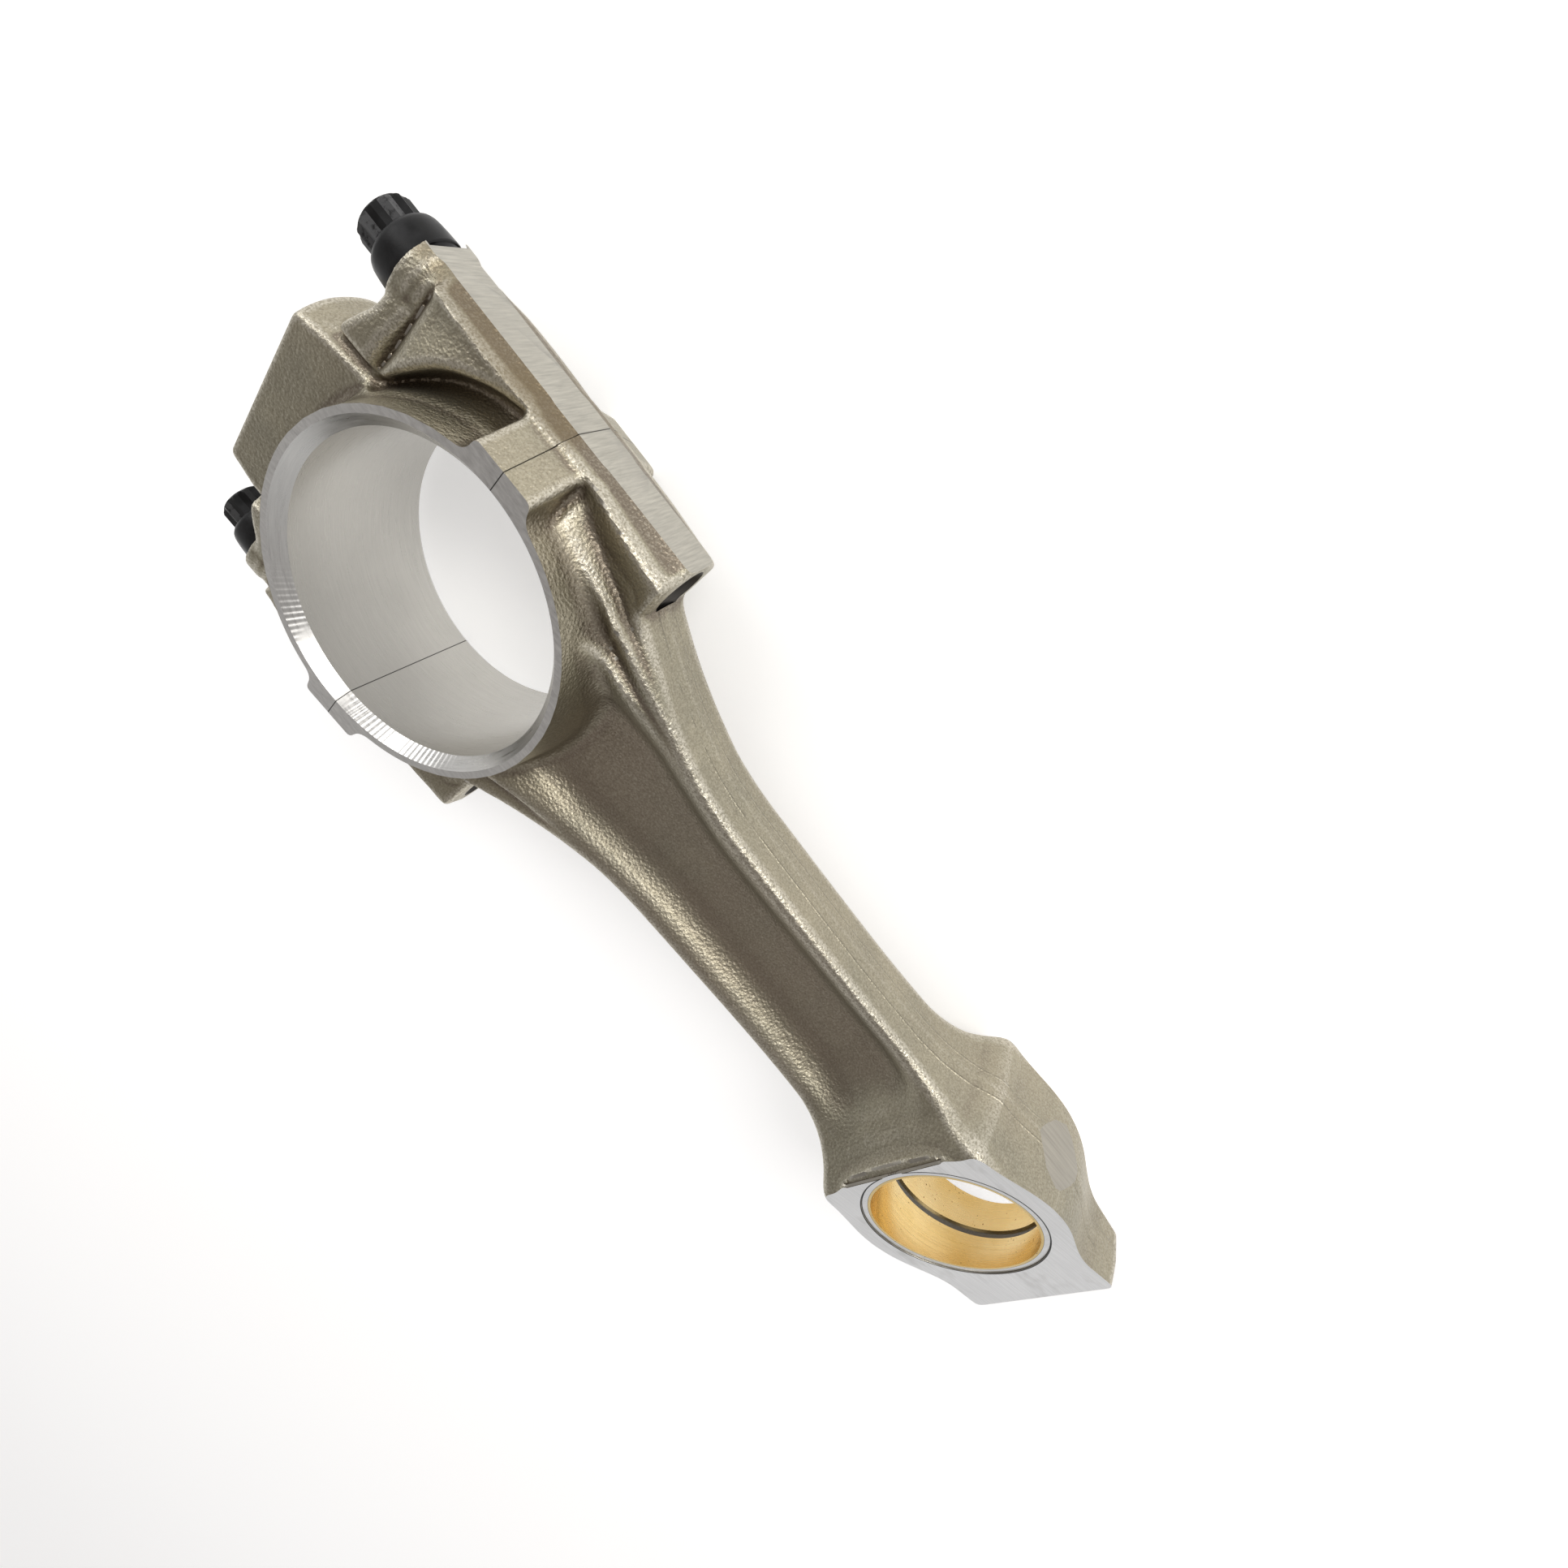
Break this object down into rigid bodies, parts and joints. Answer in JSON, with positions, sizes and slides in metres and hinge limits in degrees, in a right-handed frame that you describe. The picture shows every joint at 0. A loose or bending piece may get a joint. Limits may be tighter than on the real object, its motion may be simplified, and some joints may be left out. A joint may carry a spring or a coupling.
{
  "type": "connecting rod",
  "caption": "Forged diesel connecting rod with a cracked-off bearing cap, flanged cap screws, an I-beam shank and a tapered small end with a grooved pin bush.",
  "frame": {"origin": "centre of the crank bore at the middle of its width", "axes": "+X towards the small end along the shank, +Z along the crank bore axis towards the face with the large chamfer, +Y across the shank"},
  "size_m": [0.3985, 0.1438, 0.062],
  "materials": {
    "forged_steel": "shot-peened forged steel with machined faces",
    "black_steel": "satin black phosphated alloy steel",
    "bush_steel": "fine turned steel",
    "bush_bronze": "fine bored tin bronze"
  },
  "bodies": {
    "rod": {"rod_forging": "forged_steel", "pin_bush_backing": "bush_steel", "pin_bush_lining": "bush_bronze"},
    "cap": {"rod_cap": "forged_steel"},
    "screw_right": {"cap_screw_right": "black_steel"},
    "screw_left": {"cap_screw_left": "black_steel"}
  },
  "joints": [
    {"name": "cap_lift", "type": "slide", "parent": "rod", "child": "cap", "axis": [-1, 0, 0], "range_m": [0, 0.055]},
    {"name": "screw_right_draw", "type": "slide", "parent": "cap", "child": "screw_right", "axis": [-1, 0, 0], "range_m": [0, 0.11]},
    {"name": "screw_left_draw", "type": "slide", "parent": "cap", "child": "screw_left", "axis": [-1, 0, 0], "range_m": [0, 0.11]}
  ]
}
